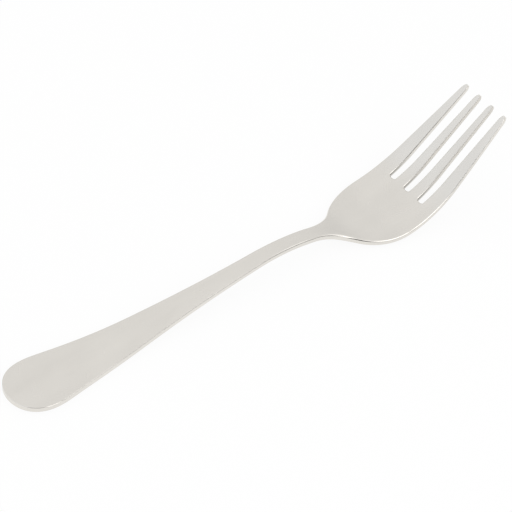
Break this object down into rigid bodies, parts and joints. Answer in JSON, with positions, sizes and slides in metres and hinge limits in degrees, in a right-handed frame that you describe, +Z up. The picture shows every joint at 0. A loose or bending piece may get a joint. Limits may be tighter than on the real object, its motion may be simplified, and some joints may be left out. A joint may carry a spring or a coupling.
{
  "type": "dessert fork",
  "caption": "One-piece stainless steel dessert fork: flat handle with a rounded, widening end, slim neck, shallow dished head and slender tapered tines.",
  "frame": {"origin": "on the surface that the fork lies on, under the middle of its overall length and width", "axes": "+X along the fork towards the tines, +Z up out of the hollow side of the head, +Y to the left of the tines"},
  "size_m": [0.1784, 0.027, 0.0276],
  "materials": {
    "steel": "polished to a soft satin sheen, edges a little brighter"
  },
  "bodies": {
    "root": {"fork": "steel"}
  },
  "joints": []
}
